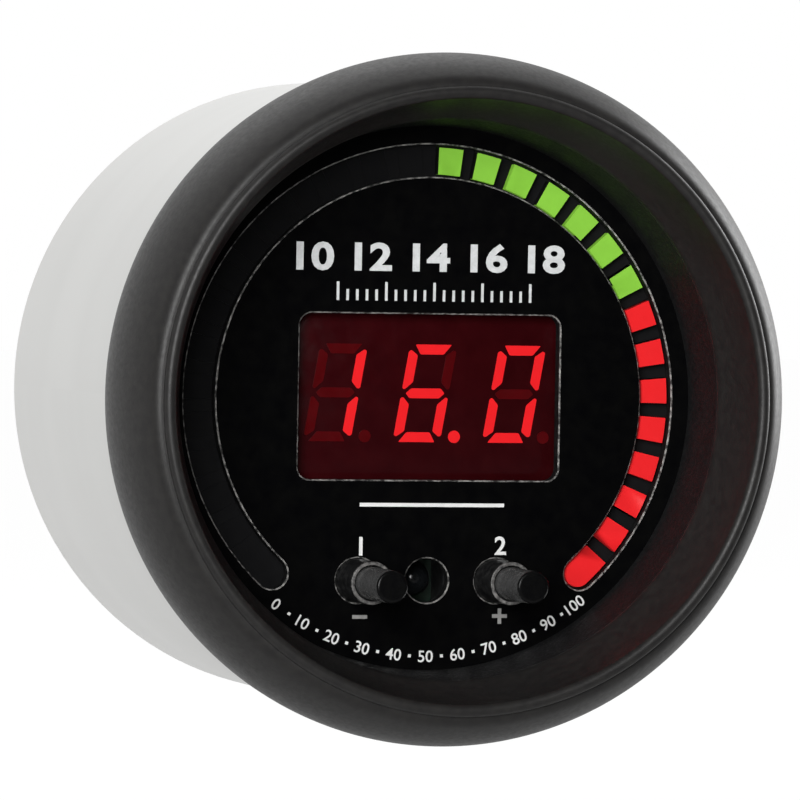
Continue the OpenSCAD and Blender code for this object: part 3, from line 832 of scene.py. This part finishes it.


# soft is the darker print of the title and its ticks, painted shade from the bezel's top
def printDial(places, white, grey, soft):
    title = ("10 12 14 16 18", places["titleMiddle"], places["titleSize"])
    addDigits("title_numbers", *title, soft, places["titleBold"])
    start, stop, row = places["tickRow"]
    tickWide, tickTall = places["tickSize"]
    ticks = []
    for i in range(places["tickCount"]):
        x = start + (stop - start) * i / (places["tickCount"] - 1)
        tall = tickTall * (1 if i % places["tickGroup"] == 0 else places["shortTick"])
        ticks.append(((x, row - (tickTall - tall) / 2), (tickWide, tall), 0))
    addBars("title_ticks", ticks, soft)
    addBars("plain_rule", [(places["ruleMiddle"], places["ruleSize"], 0)], white)
    for name, digit in (("left", "1"), ("right", "2")):
        size = (0, places["numberHeight"])
        middle = places[name + "Number"]
        addDigits(name + "_number", digit, middle, size, white, places["numberBold"])
    across, thick = places["signSize"]
    addBars("minus_sign", [(places["minusMiddle"], (across, thick), 0)], grey)
    plusX, plusZ = places["plusMiddle"]
    arm = (across - thick) / 2
    cross = [((plusX, plusZ), (across, thick), 0)]
    for side in (-1, 1):
        cross.append(((plusX, plusZ + side * (thick + arm) / 2), (thick, arm), 0))
    addBars("plus_sign", cross, grey)
    dots = []
    half = (places["arcCount"] - 1) // 2
    for i in range(places["arcCount"]):
        turn = places["arcReach"] * (1 - i / half)
        x = -places["arcRadius"] * math.sin(math.radians(turn))
        z = -places["arcRadius"] * math.cos(math.radians(turn))
        if i % 2 == 0:
            digits = str(i * places["arcStep"])
            size = (0, places["arcHeight"])
            addDigits("arc_number_" + digits, digits, (x, z), size, white, places["arcBold"], turn)
        else:
            dots.append(((x, z), (places["dotSize"], places["dotSize"]), turn))
    addBars("arc_dots", dots, white)


printRows = (("whitePrint", printLook), ("greyPrint", greyPrint), ("titleShadePrint", titleShadePrint))
printDial(markPlaces, *(makeFinish(name, row) for name, row in printRows))
print("marks printed")

# Case: drawn can, smooth satin, with faint marks round it

caseLook = {
    "colour": (218, 218, 216),
    "patchColour": (215, 215, 213),
    "patchScale": 1.0,
    "turned": (160, 90, 0.5),
    "metallic": 0.85,
    "roughness": (0.4, 0.43),
    "roughScale": 1.0,
    "grainScale": 6.0,
    "grainDepth": 0.0015 * mm,
}


def buildCase(look):
    shape = copyOfNode("case_cup")
    finish = makeFinish("caseMetal", look)
    addPiece("case_can", shape, [finish], nodes=["case_cup"])


buildCase(caseLook)

# Rear: studs with screw threads, washers, nuts and the socket

metalLook = {
    "colour": (188, 180, 160),
    "patchColour": (172, 164, 145),
    "patchScale": 900,
    "metallic": 1.0,
    "roughness": (0.25, 0.42),
    "grainScale": 4000,
    "grainDepth": 0.002 * mm,
}
steelLook = {**metalLook, "colour": (190, 190, 190), "patchColour": (174, 174, 175)}
goldLook = {**metalLook, "colour": (214, 180, 104), "patchColour": (200, 164, 92)}
threadLook = {
    "seatR": 2.5 * mm,
    "freeR": 2.085 * mm,
    "coreR": 1.72 * mm,
    "pitch": 0.794 * mm,
    "cut": ((0.15, "freeR"), (0.5, "coreR"), (0.6, "coreR"), (0.95, "freeR")),  # shares of a pitch
    "footEnds": 0.8 * mm,  # how far inside the can's back the foot's own faces end
    "shankFrom": 1.2 * mm,  # and how far inside it the new shank begins
    "freeEndIn": 14.3 * mm,
    "tip": 0.5 * mm,
    "spacing": 25.4 * mm,
    "spinSteps": 48,
}


# The hexagon foot stays, and the round shank is spun again with a cut thread on its free end
def buildStuds(thread, finish):
    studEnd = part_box("mounting_studs")[1].y
    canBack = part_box("case_cup")[1].y
    foot = copyOfNode("mounting_studs")
    footLine = canBack - thread["footEnds"]
    shanks = [f for f in foot.faces if f.calc_center_median().y > footLine]
    bmesh.ops.delete(foot, geom=shanks, context="FACES")
    addPiece("stud_feet", foot, [finish], nodes=["mounting_studs"])
    start = studEnd - thread["freeEndIn"]
    shankFrom = canBack - thread["shankFrom"]
    seatR = thread["seatR"]
    freeR = thread["freeR"]
    outline = [(0, -shankFrom), (seatR, -shankFrom), (seatR, -start), (freeR, -start)]
    turns = int((studEnd - thread["tip"] - start) / thread["pitch"])
    for i in range(turns):
        top = start + i * thread["pitch"]
        for share, radius in thread["cut"]:
            outline.append((thread[radius], -(top + share * thread["pitch"])))
    outline += [(freeR, thread["tip"] - studEnd), (freeR - thread["tip"], -studEnd), (0, -studEnd)]
    for name, side in (("left_stud", -1), ("right_stud", 1)):
        shape = spunShape(outline, thread["spinSteps"], side * thread["spacing"] / 2)
        addPiece(name, shape, [finish], sharpDegrees=30)


studFinish = makeFinish("studMetal", metalLook)
buildStuds(threadLook, studFinish)


# Bought rear parts keep their CAD form, with their sharp edges taken off
def dressCopies(rows):
    for node, (finish, slot, edge) in rows.items():
        shape = copyOfNode(node)
        softenEdges(shape, edge, segments=2, turn=40)
        addPiece(node + "_set", shape, [finish], nodes=[node])


steelFinish = makeFinish("washerSteel", steelLook)
goldFinish = makeFinish("pinGold", goldLook)
socketFinish = makeFinish("socketPlastic", {
    "colour": (24, 24, 25),
    "patchColour": (30, 30, 31),
    "patchScale": 700,
    "roughness": (0.4, 0.55),
    "grainScale": 5000,
    "grainDepth": 0.006 * mm,
})
dressCopies({
    "stud_washers": (steelFinish, "washer_steel", 0.1 * mm),
    "stud_nuts": (steelFinish, "stud_brass", 0.15 * mm),
    "rear_socket": (socketFinish, "socket_black", 0.12 * mm),
    "socket_pins": (goldFinish, "pin_brass", 0.12 * mm),
})
print("case and rear built")

# Inside: the CAD nodes keep their shape and take a finish each


def plainLook(colour, patchColour, metallic=0.0, roughness=(0.4, 0.55)):
    return {
        "colour": colour,
        "patchColour": patchColour,
        "patchScale": 900,
        "metallic": metallic,
        "roughness": roughness,
        "grainScale": 4500,
        "grainDepth": 0.003 * mm,
    }


insideLooks = {
    "boxPlastic": {**plainLook((19, 19, 20), (21, 21, 22)), "specular": 0.05},
    "lampCream": plainLook((222, 214, 186), (206, 198, 170)),
    "solderTin": plainLook((190, 190, 186), (170, 170, 166), 1.0, (0.25, 0.4)),
    "switchPlastic": plainLook((34, 34, 35), (42, 42, 43)),
    "stemGrey": plainLook((92, 92, 88), (80, 80, 77)),
    "sensorClear": plainLook((20, 22, 24), (26, 28, 30), 0.0, (0.12, 0.2)),
    "boardGreen": plainLook((10, 44, 27), (14, 52, 32), 0.0, (0.3, 0.45)),
    "chipBlack": plainLook((28, 28, 29), (38, 38, 39)),
    "screwSteel": plainLook((186, 186, 188), (168, 168, 170), 1.0, (0.22, 0.36)),
    "spacerBrass": plainLook((206, 176, 104), (190, 160, 90), 1.0, (0.25, 0.4)),
    "linkBlack": plainLook((26, 26, 27), (34, 34, 35)),
    "crystalSteel": plainLook((204, 204, 206), (188, 188, 190), 1.0, (0.2, 0.32)),
    "capacitorMetal": plainLook((196, 196, 198), (178, 178, 180), 1.0, (0.25, 0.38)),
}
insideFinishes = {name: makeFinish(name, look) for name, look in insideLooks.items()}
insideNodes = {
    "light_box": "boxPlastic",
    "bar_lamps": "lampCream",
    "display_pins": "solderTin",
    "left_switch_body": "switchPlastic",
    "right_switch_body": "switchPlastic",
    "left_switch_stem": "stemGrey",
    "right_switch_stem": "stemGrey",
    "light_sensor": "sensorClear",
    "display_board": "boardGreen",
    "control_board": "boardGreen",
    "driver_chips": "chipBlack",
    "controller_chip": "chipBlack",
    "voltage_regulator": "chipBlack",
    "board_screws": "screwSteel",
    "stud_screws": "screwSteel",
    "board_spacers": "spacerBrass",
    "board_link": "linkBlack",
    "crystal": "crystalSteel",
    "filter_capacitors": "capacitorMetal",
}
for node, finishName in insideNodes.items():
    slots = cadNodes[node].data.materials
    for i in range(len(slots)):
        slots[i] = insideFinishes[finishName]
print("inside dressed")

# Studio: floor and surround that are seen as white and mirrored dark in front, and soft lamps

studioLook = {
    "floorLevel": -45 * mm,
    "floorSize": 6.0,
    "floorColour": (0.4, 0.4, 0.4, 1),
    "floorFade": (-0.15, 0.1),  # how far back the mirrored floor turns from dark to light
    "floorSeen": 1.08,
    "floorShare": 0.9,  # the rest of what is seen of the floor is matte and takes the shadow
    "skyFade": (-0.35, 0.6),
    "skySeen": 1.0,
    "frontDark": 0.03,
    "surroundLight": 0.9,
}


# Mirrored dark towards the reader and light towards the back; the camera sees one strength
def surroundStrength(tree, light, coordinate, span, seen, look):
    parts = addNode(tree, "SeparateXYZ")
    tree.links.new(addNode(tree, "TexCoord").outputs[coordinate], parts.inputs["Vector"])
    limits = (look["frontDark"], look["surroundLight"])
    fade = rangeOf(tree, parts.outputs["Y"], span, *limits, kind="SMOOTHSTEP")
    strength = addNode(tree, "Mix", data_type="FLOAT")
    tree.links.new(light.outputs["Is Camera Ray"], strength.inputs["Factor"])
    tree.links.new(fade, strength.inputs[2])
    strength.inputs[3].default_value = seen
    return strength.outputs[0]


def addSky(look):
    world = bpy.data.worlds.new("studio")
    world.use_nodes = True
    bpy.context.scene.world = world
    tree = world.node_tree
    back = tree.nodes["Background"]
    back.inputs["Color"].default_value = (1, 1, 1, 1)
    light = addNode(tree, "LightPath")
    strength = surroundStrength(tree, light, "Generated", look["skyFade"], look["skySeen"], look)
    tree.links.new(strength, back.inputs["Strength"])


def addFloor(look):
    shape = bmesh.new()
    bmesh.ops.create_grid(shape, x_segments=1, y_segments=1, size=look["floorSize"] / 2)
    bmesh.ops.translate(shape, vec=(0, 0, look["floorLevel"]), verts=shape.verts)
    mesh = bpy.data.meshes.new("studio_floor")
    shape.to_mesh(mesh)
    shape.free()
    floor = bpy.data.objects.new("studio_floor", mesh)
    bpy.context.scene.collection.objects.link(floor)
    material = bpy.data.materials.new("studioFloor")
    material.use_nodes = True
    tree = material.node_tree
    tree.nodes.remove(tree.nodes["Principled BSDF"])
    matte = addNode(tree, "BsdfDiffuse")
    matte.inputs["Color"].default_value = look["floorColour"]
    glow = addNode(tree, "Emission")
    light = addNode(tree, "LightPath")
    strength = surroundStrength(tree, light, "Object", look["floorFade"], look["floorSeen"], look)
    tree.links.new(strength, glow.inputs["Strength"])
    share = addNode(tree, "Math", operation="MAXIMUM")
    tree.links.new(light.outputs["Is Camera Ray"], share.inputs[0])
    tree.links.new(light.outputs["Is Glossy Ray"], share.inputs[1])
    part = addNode(tree, "Math", operation="MULTIPLY")
    tree.links.new(share.outputs["Value"], part.inputs[0])
    part.inputs[1].default_value = look["floorShare"]
    mix = addNode(tree, "MixShader")
    tree.links.new(part.outputs["Value"], mix.inputs["Fac"])
    tree.links.new(matte.outputs["BSDF"], mix.inputs[1])
    tree.links.new(glow.outputs["Emission"], mix.inputs[2])
    tree.links.new(mix.outputs["Shader"], tree.nodes["Material Output"].inputs["Surface"])
    mesh.materials.append(material)


lampRows = {
    "keyLamp": {"place": (-0.44, -0.79, 0.22), "width": 0.5, "height": 0.5, "watts": 11},
    "overheadLamp": {"place": (-0.05, 0.5, 0.5), "width": 0.7, "height": 0.3, "watts": 0.6},
    "rightLamp": {"place": (0.6, 0.2, 0.1), "width": 0.5, "height": 0.6, "watts": 5},
}


def addLamps(rows):
    for name, row in rows.items():
        data = bpy.data.lights.new(name, "AREA")
        data.shape = "RECTANGLE"
        data.size = row["width"]
        data.size_y = row["height"]
        data.energy = row["watts"]
        lamp = bpy.data.objects.new(name, data)
        bpy.context.scene.collection.objects.link(lamp)
        lamp.location = row["place"]
        lamp.rotation_euler = (-Vector(row["place"])).to_track_quat("-Z", "Y").to_euler()


addSky(studioLook)
addFloor(studioLook)
addLamps(lampRows)
print("studio lit")
